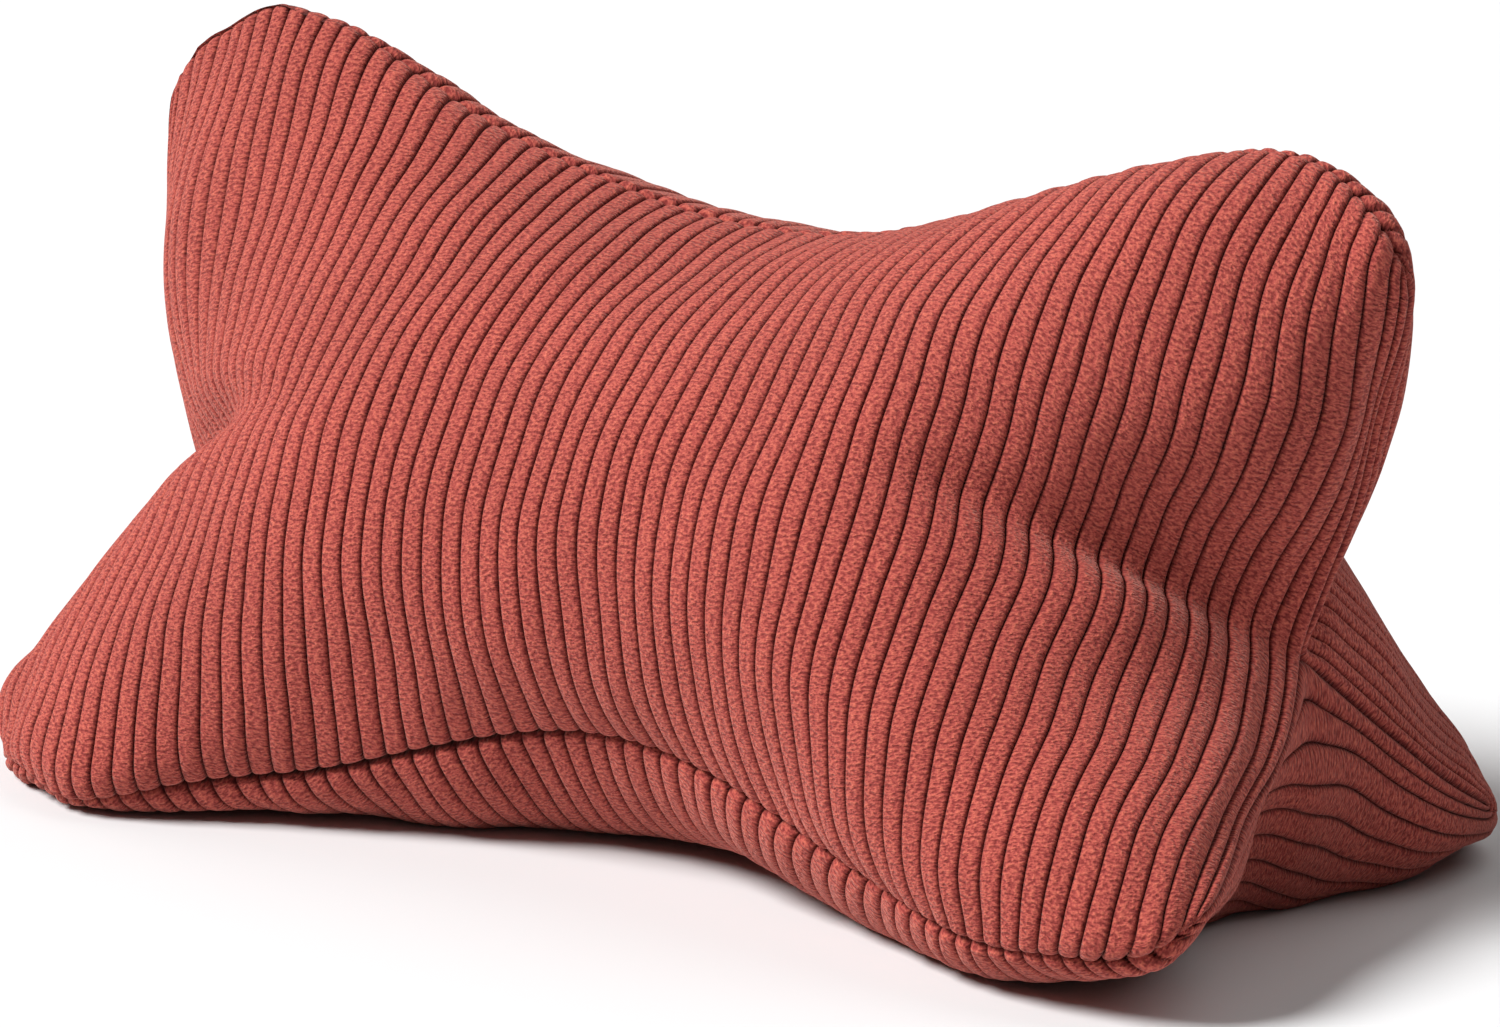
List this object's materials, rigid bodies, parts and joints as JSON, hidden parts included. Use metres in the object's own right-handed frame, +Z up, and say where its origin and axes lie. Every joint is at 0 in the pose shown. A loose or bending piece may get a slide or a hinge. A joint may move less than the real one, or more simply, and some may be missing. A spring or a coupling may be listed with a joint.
{
  "type": "bone-shaped reading pillow",
  "caption": "Filled bone-shaped corduroy pillow with flared ends and a narrow waist, which props up a head, neck or knees.",
  "frame": {"origin": "middle of the pillow's box, at the floor that it rests on", "axes": "+X along the pillow to the viewer's right, the front panel faces -Y, +Z up"},
  "size_m": [0.4076, 0.217, 0.1987],
  "materials": {
    "corduroy": "matt wide-wale corduroy, rust red"
  },
  "bodies": {
    "root": {"pillow": "corduroy"}
  },
  "joints": []
}
